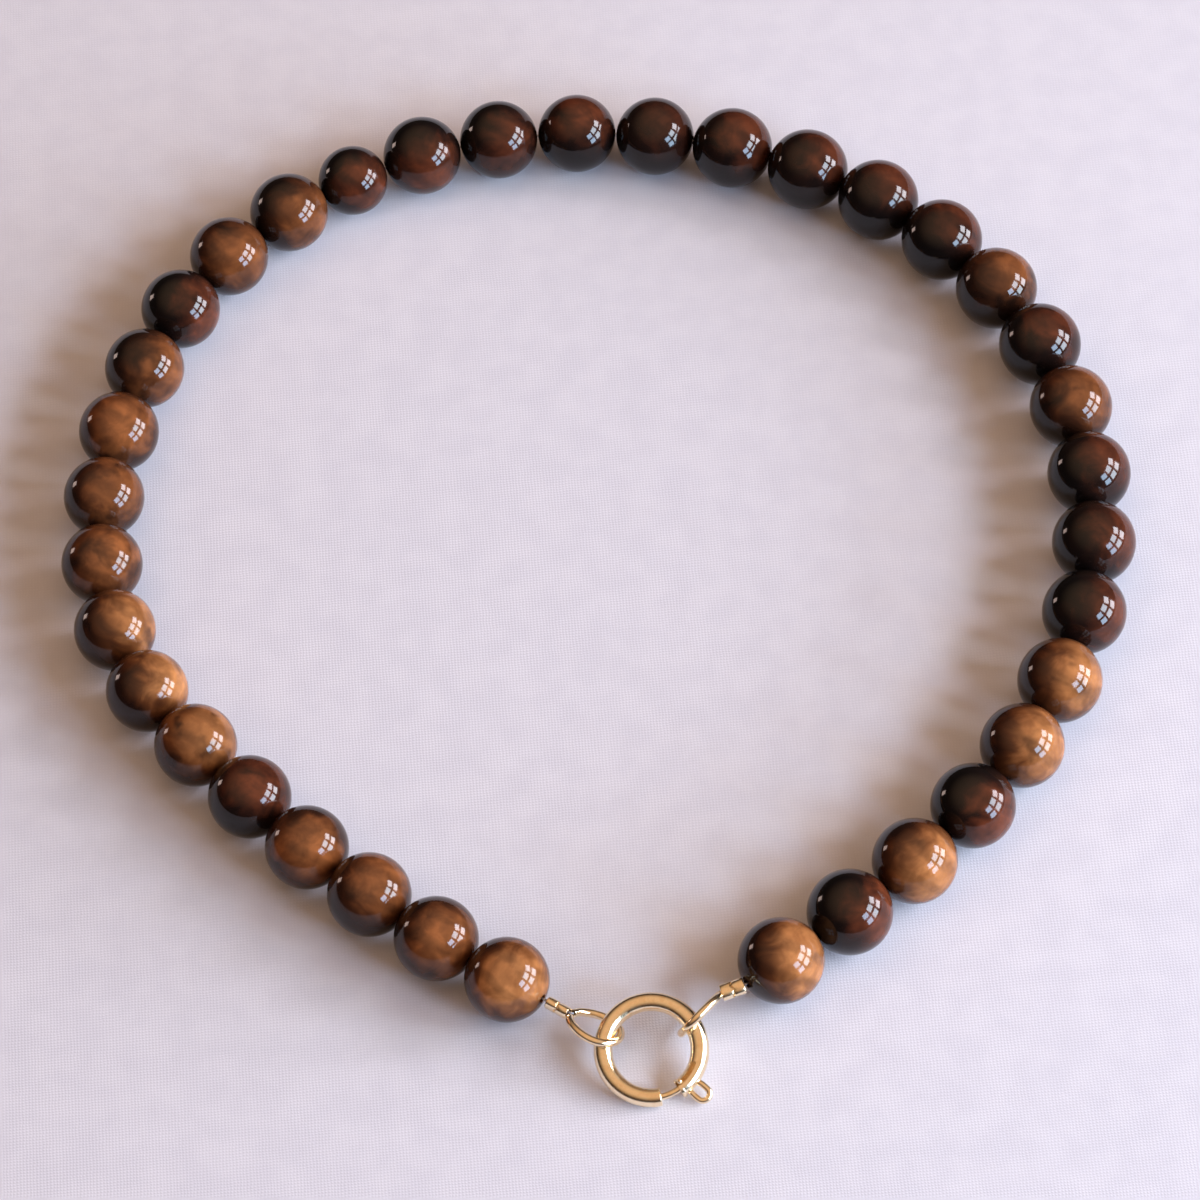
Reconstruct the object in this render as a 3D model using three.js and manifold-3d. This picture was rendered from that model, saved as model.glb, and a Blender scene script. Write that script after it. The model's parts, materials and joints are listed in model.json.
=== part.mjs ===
// A string of round drilled stone beads on a steel-cored wire, closed by a spring ring clasp.
// It lies on a flat surface, +Z up, with the clasp towards -Y. Lengths are in millimetres.

import * as THREE from "three";
import { mergeVertices } from "three/addons/utils/BufferGeometryUtils.js";
import Module from "manifold-3d";

// Beads
const beadDiameter = 10;
const beadGap = 0.15;
const boreClearance = 0.4;
const boreDrop = 0.25;
const beadSides = 14;
const beadRows = 8;

// Thread
const threadDiameter = 0.38;
const threadSides = 6;
const threadTailInset = 0.3;

// Clasp ring, hollow, with the gap that its bolt closes
const ringDiameter = 13.2;
const ringTubeDiameter = 2.15;
const ringGap = 2.2;
const ringGapMiddle = -72;
const ringTilt = 21.5;
const ringSides = 14;
const ringSteps = 38;
const ringCentreX = 1.2;
const ringCentreY = -64.9;

// Collar at the mouth that the bolt comes out of
const collarLength = 0.4;
const collarRise = 0.1;

// Eye soldered to the outside of the ring
const eyeAngle = -46;
const eyeWidth = 2.3;
const eyeReach = 2.3;
const eyeThickness = 0.7;
const eyeRail = 0.62;
const eyeRoot = 0.25;
const eyeArcSteps = 8;

// Bolt with its trigger ball, which runs in a slot in the tube
const boltDiameter = 0.8;
const boltClearance = 0.08;
const boltSeat = 0.6;
const boltTail = 3.4;
const boltSides = 8;
const boltSteps = 12;
const boltTravelSpare = 0.15;
const triggerBallDiameter = 0.62;
const triggerBallSides = 10;
const triggerStemSides = 6;
const triggerStemDiameter = 0.34;
const triggerInset = 0.35;
const triggerLift = 0.05;
const triggerAngle = 112;
const slotClearance = 0.1;

// Wire guards, the horseshoe tubes that carry the thread round the ring
const guardWall = 0.14;
const guardBoreClearance = 0.045;
const guardLength = 6.2;
const guardTubeClearance = 0.15;
const guardSpareWidth = 0.6;
const guardTaper = 0.15;
const guardArmGap = 0.2;
const guardSides = 8;
const guardSteps = 18;

// Crimps, tubes pressed flat with a groove across the middle
const crimpLength = 2.6;
const crimpThickness = 1.3;
const crimpWidth = 1.95;
const crimpGrooveWidth = 0.3;
const crimpGrooveDepth = 0.12;
const crimpEdge = 0.12;
const crimpSides = 8;
const crimpBoreClearance = 0.05;
const strandGap = 0.08;
const linkGap = 0.35;

// Where each guard goes round the ring, and how it and its crimp lie, in degrees.
// The heading is seen from above, away from the ring; the roll turns the loop about that line.
// The mouth gap is the bare thread between the crimp and the first bead.
const links = {
  left: {
    ringAngle: 154, guardHeading: 148, crimpHeading: 144, guardRoll: -40, crimpRoll: 5, mouthGap: 0.75,
  },
  right: {
    ringAngle: 28.5, guardHeading: 41, crimpHeading: 12, guardRoll: 6, crimpRoll: 85, mouthGap: 0.4,
  },
};

// Stretches of beads from the left end round to the right end, with their share of the diameter.
const beadStretches = [
  { beads: 15, share: 0.99 },
  { beads: 1, share: 0.88 },
  { beads: 4, share: 0.99 },
  { beads: 11, share: 1.015 },
  { beads: 5, share: 1.005 },
];

// Colour of each bead's stone, in the same order.
const beadTones = [
  "light", "mid", "mid", "mid", "dark", "light", "light", "light", "mid",
  "mid", "mid", "mid", "dark", "mid", "mid", "dark", "dark", "dark",
  "dark", "dark", "dark", "dark", "dark", "dark", "mid", "dark", "mid",
  "dark", "dark", "dark", "light", "light", "dark", "light", "dark", "light",
];

// The route of the string as it lies, seen from above, between its two ends at the crimps.
const stringRoute = [
  [-18.5, -52.0],
  [-33.4, -38.4],
  [-46.2, -23.0],
  [-57.3, -6.1],
  [-59.8, 13.7],
  [-55.6, 33.1],
  [-46.1, 50.5],
  [-30.7, 62.7],
  [-12.5, 68.5],
  [7.5, 68.2],
  [26.8, 61.9],
  [43.5, 49.9],
  [55.2, 33.1],
  [60.3, 13.4],
  [58.8, -7.3],
  [50.5, -26.1],
  [36.8, -41.6],
  [20.6, -53.5],
];

const stoneColours = { light: 0x9a5f3c, mid: 0x5f3522, dark: 0x2b1a16 };
const goldColour = 0xd9a95f;
const steelColour = 0x8f8f92;

const wasm = await Module();
wasm.setup();

const radians = THREE.MathUtils.degToRad;
const upward = new THREE.Vector3(0, 0, 1);

const ringTubeRadius = ringTubeDiameter / 2;
const ringRadius = ringDiameter / 2 - ringTubeRadius;
const boltRadius = boltDiameter / 2;
const threadRadius = threadDiameter / 2;
const mergeTolerance = 1e-4;
const halvings = 40;
const smallestDraw = 0.5;
const largestDraw = 2;
const pointsAhead = 3;
const routeMiddle = 0.5;
const degreesOfArc = (length) => THREE.MathUtils.radToDeg(length / ringRadius);

// The tube starts at the bolt's mouth and runs anticlockwise to the far side of the gap.
const mouthAngle = ringGapMiddle + degreesOfArc(ringGap) / 2;
const seatAngle = mouthAngle - degreesOfArc(ringGap);
const boltTravel = degreesOfArc(ringGap + boltSeat + boltTravelSpare);
const triggerRestAngle = mouthAngle + degreesOfArc(triggerInset + triggerStemDiameter / 2);

function goldMaterial() {
  return new THREE.MeshStandardMaterial({ color: goldColour, roughness: 0.18, metalness: 1 });
}

function steelMaterial() {
  return new THREE.MeshStandardMaterial({ color: steelColour, roughness: 0.3, metalness: 1 });
}

function stoneMaterial(tone) {
  return new THREE.MeshStandardMaterial({ color: stoneColours[tone], roughness: 0.12 });
}

function namedMesh(name, geometry, material) {
  const mesh = new THREE.Mesh(geometry, material);
  mesh.name = name;
  return mesh;
}

// Joins and cuts

function toManifold(geometry) {
  const bare = geometry.clone();
  bare.deleteAttribute("normal");
  bare.deleteAttribute("uv");
  const merged = mergeVertices(bare, mergeTolerance);
  return new wasm.Manifold(new wasm.Mesh({
    numProp: 3,
    vertProperties: new Float32Array(merged.attributes.position.array),
    triVerts: new Uint32Array(merged.index.array),
  }));
}

function fromManifold(solid) {
  const mesh = solid.getMesh();
  const geometry = new THREE.BufferGeometry();
  geometry.setAttribute("position", new THREE.BufferAttribute(mesh.vertProperties, 3));
  geometry.setIndex(new THREE.BufferAttribute(mesh.triVerts, 1));
  geometry.computeVertexNormals();
  return geometry;
}

// Paths and sections

// A path given by its stations: an extrusion along it has one section at each of them.
class StationPath extends THREE.Curve {
  constructor(stations) {
    super();
    this.stations = stations;
  }

  getPoint(t, target = new THREE.Vector3()) {
    const place = t * (this.stations.length - 1);
    const from = Math.min(Math.floor(place), this.stations.length - 2);
    return target.lerpVectors(this.stations[from], this.stations[from + 1], place - from);
  }

  getPointAt(u, target) {
    return this.getPoint(u, target);
  }

  getTangentAt(u, target = new THREE.Vector3()) {
    const last = this.stations.length - 1;
    const here = Math.round(u * last);
    const before = this.stations[Math.max(here - 1, 0)];
    const after = this.stations[Math.min(here + 1, last)];
    const arriving = this.stations[here].clone().sub(before).normalize();
    const leaving = after.clone().sub(this.stations[here]).normalize();
    return target.addVectors(arriving, leaving).normalize();
  }
}

// An arc of the clasp ring. A section's x runs along the ring's axis, its y away from the centre.
class RingArc extends THREE.Curve {
  constructor(fromAngle, toAngle) {
    super();
    this.fromAngle = fromAngle;
    this.toAngle = toAngle;
  }

  outwards(t) {
    const angle = radians(THREE.MathUtils.lerp(this.fromAngle, this.toAngle, t));
    return new THREE.Vector3(Math.cos(angle), Math.sin(angle), 0);
  }

  getPoint(t, target = new THREE.Vector3()) {
    return target.copy(this.outwards(t)).multiplyScalar(ringRadius);
  }

  getPointAt(u, target) {
    return this.getPoint(u, target);
  }

  computeFrenetFrames(segments) {
    const steps = [...Array(segments + 1).keys()];
    const binormals = steps.map((step) => this.outwards(step / segments));
    const normals = steps.map(() => upward.clone());
    const tangents = binormals.map((outward) => new THREE.Vector3().crossVectors(upward, outward));
    return { tangents, normals, binormals };
  }
}

function polygon(ShapeClass, radius, sides, turn = 0) {
  const corners = [...Array(sides).keys()].map((corner) => {
    const angle = 2 * Math.PI * (corner + turn) / sides;
    return new THREE.Vector2(radius * Math.cos(angle), radius * Math.sin(angle));
  });
  return new ShapeClass(corners);
}

function tubeSection(radius, boreRadius, sides, boreSides) {
  const section = polygon(THREE.Shape, radius, sides);
  section.holes.push(polygon(THREE.Path, boreRadius, boreSides));
  return section;
}

function extrudeAlong(path, section, steps) {
  return new THREE.ExtrudeGeometry(section, { steps, extrudePath: path, bevelEnabled: false });
}

// The corner radius of a polygon whose flats lie at the given distance
function overFlats(radius, sides) {
  return radius / Math.cos(Math.PI / sides);
}

// Clasp

const boltBoreRadius = overFlats(boltRadius + boltClearance, boltSides);
const tubeSweep = 360 - degreesOfArc(ringGap);

function slotCutter() {
  const halfWidth = triggerStemDiameter / 2 + slotClearance;
  const reach = 2 * ringTubeRadius;
  const outline = [[0, -halfWidth], [reach, -halfWidth], [reach, halfWidth], [0, halfWidth]];
  const turn = radians(90 - triggerAngle);
  const corners = outline.map(([x, y]) => new THREE.Vector2(x, y).rotateAround(new THREE.Vector2(), turn));
  const fromAngle = mouthAngle - degreesOfArc(ringTubeRadius);
  const toAngle = triggerRestAngle + boltTravel + degreesOfArc(halfWidth);
  return extrudeAlong(new RingArc(fromAngle, toAngle), new THREE.Shape(corners), boltSteps);
}

function eyeSolid() {
  const halfWidth = eyeWidth / 2;
  const root = ringRadius + ringTubeRadius - eyeRoot;
  const end = ringRadius + ringTubeRadius + eyeReach;
  const centre = end - halfWidth;
  const outline = new THREE.Shape();
  outline.moveTo(root, -halfWidth);
  outline.lineTo(centre, -halfWidth);
  outline.absarc(centre, 0, halfWidth, -Math.PI / 2, Math.PI / 2, false);
  outline.lineTo(root, halfWidth);
  outline.closePath();
  const holeHalf = halfWidth - eyeRail;
  const holeStart = ringRadius + ringTubeRadius + holeHalf;
  const hole = new THREE.Path();
  hole.absarc(centre, 0, holeHalf, -Math.PI / 2, Math.PI / 2, false);
  hole.absarc(Math.min(holeStart, centre), 0, holeHalf, Math.PI / 2, 3 * Math.PI / 2, false);
  hole.closePath();
  outline.holes.push(hole);
  const options = { depth: eyeThickness, bevelEnabled: false, curveSegments: eyeArcSteps };
  const geometry = new THREE.ExtrudeGeometry(outline, options);
  geometry.translate(0, 0, -eyeThickness / 2);
  geometry.rotateZ(radians(eyeAngle));
  return geometry;
}

function claspRing() {
  const section = polygon(THREE.Shape, ringTubeRadius, ringSides);
  const boreSection = polygon(THREE.Shape, boltBoreRadius, boltSides);
  const collarSection = polygon(THREE.Shape, ringTubeRadius + collarRise, ringSides);
  const tubeArc = new RingArc(mouthAngle, mouthAngle + tubeSweep);
  const collarArc = new RingArc(mouthAngle, mouthAngle + degreesOfArc(collarLength));
  const past = degreesOfArc(ringTubeRadius / 4);
  const boreArc = new RingArc(mouthAngle - past, mouthAngle + tubeSweep + past);
  const tube = toManifold(extrudeAlong(tubeArc, section, ringSteps));
  const collar = toManifold(extrudeAlong(collarArc, collarSection, 1));
  const bore = toManifold(extrudeAlong(boreArc, boreSection, ringSteps));
  const eye = toManifold(eyeSolid());
  const slot = toManifold(slotCutter());
  return fromManifold(tube.add(collar).add(eye).subtract(bore).subtract(slot));
}

function claspBolt() {
  const fromAngle = seatAngle - degreesOfArc(boltSeat);
  const toAngle = mouthAngle + degreesOfArc(boltTail);
  const section = polygon(THREE.Shape, boltRadius, boltSides);
  const rod = toManifold(extrudeAlong(new RingArc(fromAngle, toAngle), section, boltSteps));
  const ballReach = ringTubeRadius + triggerLift + triggerBallDiameter / 2;
  const stemRadius = triggerStemDiameter / 2;
  const stem = new THREE.CylinderGeometry(stemRadius, stemRadius, ballReach, triggerStemSides);
  stem.translate(0, ballReach / 2, 0);
  const ball = new THREE.SphereGeometry(triggerBallDiameter / 2, triggerBallSides, triggerBallSides);
  ball.translate(0, ballReach, 0);
  // The trigger stands off the bolt: from the outward direction over towards the ring's axis.
  const place = new THREE.Matrix4().makeRotationZ(radians(triggerRestAngle));
  place.multiply(new THREE.Matrix4().makeTranslation(ringRadius, 0, 0));
  place.multiply(new THREE.Matrix4().makeRotationY(-radians(triggerAngle)));
  place.multiply(new THREE.Matrix4().makeRotationZ(-Math.PI / 2));
  stem.applyMatrix4(place);
  ball.applyMatrix4(place);
  return fromManifold(rod.add(toManifold(stem)).add(toManifold(ball)));
}

// The ring is held up at the back and rests on its front edge.
const ringCentre = new THREE.Vector3(ringCentreX, ringCentreY,
  ringTubeRadius + ringRadius * Math.sin(radians(ringTilt)));
const ringAxis = new THREE.Vector3(0, -Math.sin(radians(ringTilt)), Math.cos(radians(ringTilt)));
const ringBack = new THREE.Vector3(0, Math.cos(radians(ringTilt)), Math.sin(radians(ringTilt)));

function onRing(angle, radius) {
  return new THREE.Vector3(Math.cos(radians(angle)) * radius, 0, 0)
    .addScaledVector(ringBack, Math.sin(radians(angle)) * radius);
}

const clasp = new THREE.Group();
clasp.position.copy(ringCentre);
clasp.rotation.x = radians(ringTilt);
clasp.add(namedMesh("clasp_ring", claspRing(), goldMaterial()));
clasp.add(namedMesh("clasp_tongue", claspBolt(), goldMaterial()));

// Links between the ring and the string

const beadShares = beadStretches.flatMap(({ beads, share }) => Array(beads).fill(share));
const beadRadii = beadShares.map((share) => beadDiameter * share / 2);
const guardBoreRadius = overFlats(threadRadius + guardBoreClearance, guardSides);
const guardRadius = guardBoreRadius + guardWall;
const strandOffset = threadRadius + strandGap / 2;
const armOffset = guardRadius + guardArmGap / 2;
const guardTip = ringTubeRadius + guardTubeClearance + guardRadius;
const guardReach = guardLength - guardTip;

function heading(angle, rise) {
  const flat = Math.cos(rise);
  return new THREE.Vector3(Math.cos(angle) * flat, Math.sin(angle) * flat, Math.sin(rise));
}

// A frame whose first axis is the line; its second is the reference made square and then rolled.
function rolledFrame(line, reference, rollDegrees) {
  const second = reference.clone().addScaledVector(line, -reference.dot(line)).normalize();
  second.applyAxisAngle(line, radians(rollDegrees));
  return { line, second, third: new THREE.Vector3().crossVectors(line, second) };
}

function layLink(link, beadRadius) {
  const crossing = ringCentre.clone().add(onRing(link.ringAngle, ringRadius));
  const run = guardReach + linkGap + crimpLength + link.mouthGap;
  const rise = Math.asin((beadRadius - crossing.z) / run);
  const guardLine = heading(radians(link.guardHeading), rise);
  const crimpLine = heading(radians(link.crimpHeading), rise);
  const guardEnd = crossing.clone().addScaledVector(guardLine, guardReach);
  const crimpStart = guardEnd.clone().addScaledVector(guardLine, linkGap);
  const crimpEnd = crimpStart.clone().addScaledVector(crimpLine, crimpLength);
  const mouth = crimpEnd.clone().addScaledVector(crimpLine, link.mouthGap);
  const guardFrame = rolledFrame(guardLine, ringAxis, link.guardRoll);
  const strandFrame = rolledFrame(crimpLine, guardFrame.second, 0);
  const crimpFrame = rolledFrame(crimpLine, ringAxis, link.crimpRoll);
  return { link, crossing, crimpStart, crimpEnd, mouth, guardFrame, strandFrame, crimpFrame };
}

// Both guards are alike, wide enough for the one that crosses the ring's tube at more of a slant.
const steepestRoll = Math.max(...Object.values(links).map((link) => Math.abs(link.guardRoll)));
const guardHalfWidth = guardTip / Math.cos(radians(steepestRoll)) + guardSpareWidth;

// A teardrop from one arm's end round the tip to the other arm's end
function guardStations(laid) {
  const halfLength = guardLength / 2;
  const start = Math.asin(Math.min(armOffset / (guardHalfWidth * (1 - guardTaper)), 1));
  return [...Array(guardSteps + 1).keys()].map((step) => {
    const angle = THREE.MathUtils.lerp(start, 2 * Math.PI - start, step / guardSteps);
    const along = halfLength * Math.cos(angle) + halfLength - guardTip;
    const across = guardHalfWidth * Math.sin(angle) * (1 - guardTaper * Math.cos(angle));
    return laid.crossing.clone()
      .addScaledVector(laid.guardFrame.line, along)
      .addScaledVector(laid.guardFrame.second, across);
  });
}

function wireGuard(laid) {
  const section = tubeSection(guardRadius, guardBoreRadius, guardSides, guardSides);
  return extrudeAlong(new StationPath(guardStations(laid)), section, guardSteps);
}

function crimp(laid) {
  const half = crimpLength / 2;
  const outer = overFlats(crimpThickness / 2, crimpSides);
  const bore = overFlats(strandOffset + threadRadius + crimpBoreClearance, crimpSides);
  const grooveHalf = crimpGrooveWidth / 2;
  const profile = [
    [bore, -half], [outer - crimpEdge, -half], [outer, -half + crimpEdge],
    [outer, -grooveHalf], [outer - crimpGrooveDepth, -grooveHalf / 2],
    [outer - crimpGrooveDepth, grooveHalf / 2], [outer, grooveHalf],
    [outer, half - crimpEdge], [outer - crimpEdge, half], [bore, half], [bore, -half],
  ].map(([radius, along]) => new THREE.Vector2(radius, along));
  const geometry = new THREE.LatheGeometry(profile, crimpSides);
  geometry.rotateY(Math.PI / crimpSides);
  geometry.scale(crimpWidth / crimpThickness, 1, 1);
  const { line, second, third } = laid.crimpFrame;
  const place = new THREE.Matrix4().makeBasis(second, line, third.clone().negate());
  place.setPosition(laid.crimpStart.clone().addScaledVector(line, half));
  geometry.applyMatrix4(place);
  return geometry;
}

// The thread's stations from its tail, round the guard and back to the first bead's mouth
function threadThroughLink(laid) {
  const across = laid.strandFrame.second;
  const inset = laid.crimpEnd.clone().addScaledVector(laid.strandFrame.line, -threadTailInset);
  return [
    inset.addScaledVector(across, strandOffset),
    laid.crimpStart.clone().addScaledVector(across, strandOffset),
    ...guardStations(laid),
    laid.crimpStart.clone().addScaledVector(across, -strandOffset),
    laid.crimpEnd.clone().addScaledVector(across, -strandOffset),
  ];
}

// String of beads

const leftLink = layLink(links.left, beadRadii[0]);
const rightLink = layLink(links.right, beadRadii[beadRadii.length - 1]);
const claspMiddle = leftLink.mouth.clone().lerp(rightLink.mouth, 0.5);

// The route drawn out from the clasp by a share, so that the string just fills it
function drawnRoute(share) {
  const between = stringRoute.map(([x, y]) => new THREE.Vector3(
    THREE.MathUtils.lerp(claspMiddle.x, x, share),
    THREE.MathUtils.lerp(claspMiddle.y, y, share), 0));
  const start = leftLink.mouth.clone().setZ(0);
  const end = rightLink.mouth.clone().setZ(0);
  return new THREE.CatmullRomCurve3([start, ...between, end], false, "centripetal");
}

// The knots of the thread between beads, one bead and its gap apart, or null past the end
function walkRoute(route) {
  const knots = [route.getPoint(0)];
  let place = 0;
  for (const radius of beadRadii) {
    const pitch = 2 * radius + beadGap;
    const from = knots[knots.length - 1];
    if (route.getPoint(1).distanceTo(from) < pitch && place > routeMiddle) {
      return null;
    }
    let near = place;
    let far = Math.min(place + pointsAhead / stringRoute.length, 1);
    for (let halving = 0; halving < halvings; halving += 1) {
      const middle = (near + far) / 2;
      if (route.getPoint(middle).distanceTo(from) < pitch) {
        near = middle;
      } else {
        far = middle;
      }
    }
    place = far;
    knots.push(route.getPoint(place));
  }
  return knots;
}

function fitString() {
  let small = smallestDraw;
  let large = largestDraw;
  for (let halving = 0; halving < halvings; halving += 1) {
    const middle = (small + large) / 2;
    if (walkRoute(drawnRoute(middle))) {
      large = middle;
    } else {
      small = middle;
    }
  }
  return walkRoute(drawnRoute(large));
}

const knots = fitString();

// The thread runs level between neighbours, at the height of the larger one's middle.
knots.forEach((knot, index) => {
  knot.z = Math.max(beadRadii[index - 1] ?? 0, beadRadii[index] ?? 0);
});

function beadGeometry(radius) {
  const bore = overFlats(threadRadius + boreClearance, beadSides);
  const rim = Math.asin(bore / radius);
  const profile = [...Array(beadRows + 1).keys()].map((row) => {
    const angle = THREE.MathUtils.lerp(rim, Math.PI - rim, row / beadRows);
    return new THREE.Vector2(radius * Math.sin(angle), -radius * Math.cos(angle));
  });
  profile.push(profile[0].clone());
  return new THREE.LatheGeometry(profile, beadSides);
}

function layBead(index) {
  const radius = beadRadii[index];
  const [from, to] = [knots[index], knots[index + 1]];
  const threadHeight = (from.z + to.z) / 2;
  const name = `bead_${String(index + 1).padStart(2, "0")}`;
  const bead = namedMesh(name, beadGeometry(radius), stoneMaterial(beadTones[index]));
  // A small bead hangs on the thread, lower by the play in its bore but never through the surface.
  const height = Math.max(radius, threadHeight - boreDrop);
  bead.position.set((from.x + to.x) / 2, (from.y + to.y) / 2, height);
  bead.rotation.z = Math.atan2(to.y - from.y, to.x - from.x) - Math.PI / 2;
  return bead;
}

const stations = [
  ...threadThroughLink(leftLink),
  ...knots,
  ...threadThroughLink(rightLink).reverse(),
];
const thread = extrudeAlong(new StationPath(stations),
  polygon(THREE.Shape, threadRadius, threadSides), stations.length - 1);

const necklace = new THREE.Group();
beadRadii.forEach((radius, index) => necklace.add(layBead(index)));
necklace.add(namedMesh("beading_wire", thread, steelMaterial()));
necklace.add(namedMesh("crimp_left", crimp(leftLink), goldMaterial()));
necklace.add(namedMesh("crimp_right", crimp(rightLink), goldMaterial()));
necklace.add(namedMesh("wire_guard_left", wireGuard(leftLink), goldMaterial()));
necklace.add(namedMesh("wire_guard_right", wireGuard(rightLink), goldMaterial()));
necklace.add(clasp);

// The origin is the middle of the outline seen from above, on the surface.
const extent = new THREE.Box3().setFromObject(necklace, true);
const middle = extent.getCenter(new THREE.Vector3());
necklace.position.set(-middle.x, -middle.y, -extent.min.z);

const part = new THREE.Group();
part.add(necklace);

export default part;
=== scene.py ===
"""A string of polished stone beads with a gold-coloured spring ring clasp, lying on a pale cloth."""

import json
import logging
import math
from dataclasses import dataclass
from enum import Enum

import bmesh
import bpy
import numpy as np
from mathutils import Matrix, Vector


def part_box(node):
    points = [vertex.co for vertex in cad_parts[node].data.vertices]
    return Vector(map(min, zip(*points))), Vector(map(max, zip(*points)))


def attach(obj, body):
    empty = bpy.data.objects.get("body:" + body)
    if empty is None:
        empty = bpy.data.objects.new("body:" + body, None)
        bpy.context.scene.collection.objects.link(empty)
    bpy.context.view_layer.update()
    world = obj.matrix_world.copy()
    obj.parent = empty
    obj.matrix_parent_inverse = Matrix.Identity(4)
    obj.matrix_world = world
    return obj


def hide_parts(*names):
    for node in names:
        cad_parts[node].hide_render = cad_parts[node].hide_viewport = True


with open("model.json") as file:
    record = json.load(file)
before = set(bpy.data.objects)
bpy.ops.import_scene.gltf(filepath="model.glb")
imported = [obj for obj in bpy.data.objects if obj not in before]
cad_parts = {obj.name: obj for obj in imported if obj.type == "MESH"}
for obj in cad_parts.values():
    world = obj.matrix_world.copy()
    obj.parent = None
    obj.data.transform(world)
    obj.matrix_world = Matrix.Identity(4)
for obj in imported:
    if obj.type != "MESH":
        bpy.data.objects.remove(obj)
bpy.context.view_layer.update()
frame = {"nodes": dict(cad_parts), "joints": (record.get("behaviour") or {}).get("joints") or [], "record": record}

logging.basicConfig(level=logging.INFO, format="%(message)s")
log = logging.getLogger("necklace")

MM = 0.001
NECKLACE_BODY = "necklace"
LATCH_BODY = "latch"

RIM_TURN = 1.2
WIDE_ROUND_STEPS = 3
NARROW_ROUND_STEPS = 2
SHARP_ANGLE = math.radians(38)
MERGE_DISTANCE = 1e-7
FULL_TURN = 360.0

Colour = tuple[float, float, float]
Span = tuple[float, float]


class Tone(Enum):
    """How deep the stone of a bead is, by the record's slot for it."""

    LIGHT = "stone_light"
    MID = "stone_mid"
    DARK = "stone_dark"


class Side(Enum):
    """The two ends of the string at the clasp."""

    LEFT = "left"
    RIGHT = "right"


# Node trees


@dataclass(frozen=True)
class Noise:
    """A noise's scale, octaves and swirl."""

    scale: float
    detail: float
    swirl: float = 0.0


class NodeSheet:
    """A node tree with short ways to add nodes and link them."""

    def __init__(self, tree: bpy.types.NodeTree) -> None:
        """Takes the tree that is filled."""
        self.tree = tree

    def add(self, kind: str, **settings: object) -> bpy.types.Node:
        """Adds a node.

        Args:
            kind: The node's type, without the word ShaderNode in front.
            **settings: Properties of the node to set.

        Returns:
            The new node.
        """
        node = self.tree.nodes.new("ShaderNode" + kind)
        for name, value in settings.items():
            setattr(node, name, value)
        return node

    def link(self, source: bpy.types.NodeSocket, target: bpy.types.NodeSocket) -> None:
        """Links two sockets."""
        self.tree.links.new(source, target)

    def put(self, value: object, target: bpy.types.NodeSocket) -> None:
        """Links a socket into the target, or writes a plain value there.

        Args:
            value: A socket, a number or a colour.
            target: The input that takes it.
        """
        if isinstance(value, bpy.types.NodeSocket):
            self.link(value, target)
        else:
            target.default_value = value

    def math(self, operation: str, first: object, second: object = 0.0) -> bpy.types.NodeSocket:
        """Adds a math node of two inputs.

        Args:
            operation: The operation's name.
            first: A number or a socket.
            second: A number or a socket.

        Returns:
            The result.
        """
        node = self.add("Math", operation=operation)
        self.put(first, node.inputs[0])
        self.put(second, node.inputs[1])
        return node.outputs[0]

    def mix(self, factor: object, first: object, second: object) -> bpy.types.NodeSocket:
        """Mixes two colours.

        Args:
            factor: The share of the second colour.
            first: A colour or a socket.
            second: A colour or a socket.

        Returns:
            The mixed colour.
        """
        node = self.add("Mix", data_type="RGBA")
        self.put(factor, node.inputs["Factor"])
        self.put(first, node.inputs[6])
        self.put(second, node.inputs[7])
        return node.outputs[2]

    def remap(self, value: object, reach: Span, result: Span = (0.0, 1.0)) -> bpy.types.NodeSocket:
        """Maps a range smoothly onto another.

        Args:
            value: The socket that is read.
            reach: The range that is read.
            result: The range that it becomes.

        Returns:
            The mapped value.
        """
        node = self.add("MapRange", interpolation_type="SMOOTHSTEP")
        self.put(value, node.inputs["Value"])
        for ends, (low, high) in (("From", reach), ("To", result)):
            node.inputs[f"{ends} Min"].default_value = low
            node.inputs[f"{ends} Max"].default_value = high
        return node.outputs["Result"]

    def noise(self, place: bpy.types.NodeSocket, noise: Noise) -> bpy.types.NodeSocket:
        """Adds a noise texture.

        Args:
            place: The place that it reads.
            noise: Its scale, octaves and swirl.

        Returns:
            The noise, from 0 to 1.
        """
        node = self.add("TexNoise")
        self.link(place, node.inputs["Vector"])
        node.inputs["Scale"].default_value = noise.scale
        node.inputs["Detail"].default_value = noise.detail
        node.inputs["Distortion"].default_value = noise.swirl
        return node.outputs["Fac"]

    def waves(self, place: bpy.types.NodeSocket, direction: str, noise: Noise) -> bpy.types.NodeSocket:
        """Adds a texture of bands.

        Args:
            place: The place that it reads.
            direction: The way across the bands.
            noise: Their scale, octaves and swirl.

        Returns:
            The bands, from 0 to 1.
        """
        node = self.add("TexWave", wave_type="BANDS", bands_direction=direction)
        self.link(place, node.inputs["Vector"])
        node.inputs["Scale"].default_value = noise.scale
        node.inputs["Detail"].default_value = noise.detail
        node.inputs["Distortion"].default_value = noise.swirl
        return node.outputs["Fac"]


def new_material(name: str) -> tuple[bpy.types.Material, NodeSheet, bpy.types.Node]:
    """Starts a material.

    Args:
        name: Its name.

    Returns:
        The material, its sheet of nodes and its Principled shader.
    """
    material = bpy.data.materials.new(name)
    material.use_nodes = True
    sheet = NodeSheet(material.node_tree)
    shader = material.node_tree.nodes["Principled BSDF"]
    return material, sheet, shader


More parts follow.
